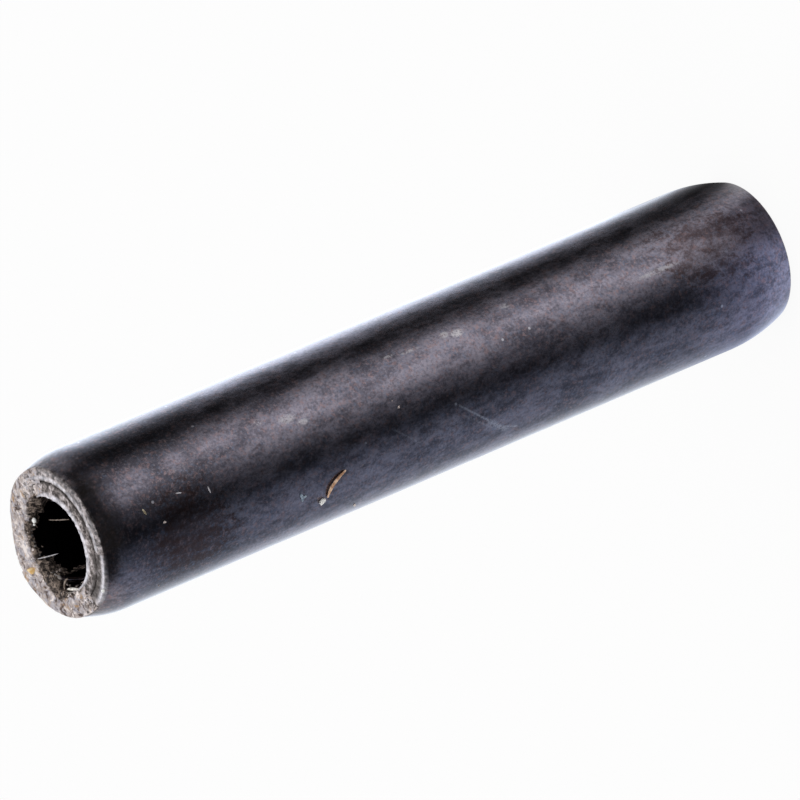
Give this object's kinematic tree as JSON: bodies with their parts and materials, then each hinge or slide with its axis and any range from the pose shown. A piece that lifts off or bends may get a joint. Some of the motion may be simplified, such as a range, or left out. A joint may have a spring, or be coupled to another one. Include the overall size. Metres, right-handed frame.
{
  "type": "coiled spring pin",
  "caption": "Spring pin rolled from one strip of dark oxide-finished steel, with swaged ends, that is driven into a plain hole and holds itself there.",
  "frame": {"origin": "middle of the lower end face, on the pin's axis", "axes": "+Z along the pin's axis, from the end it stands on to the other end; the seam where the strip's outer edge lies is 82 degrees from +X towards +Y"},
  "size_m": [0.0064, 0.0064, 0.032],
  "materials": {
    "spring_steel": "black oxide on spring steel, cloudy and worn, satin, with brown rust marks, scratches, and a bright worn edge round the upper end"
  },
  "bodies": {
    "root": {"coiled_pin": "spring_steel"}
  },
  "joints": []
}
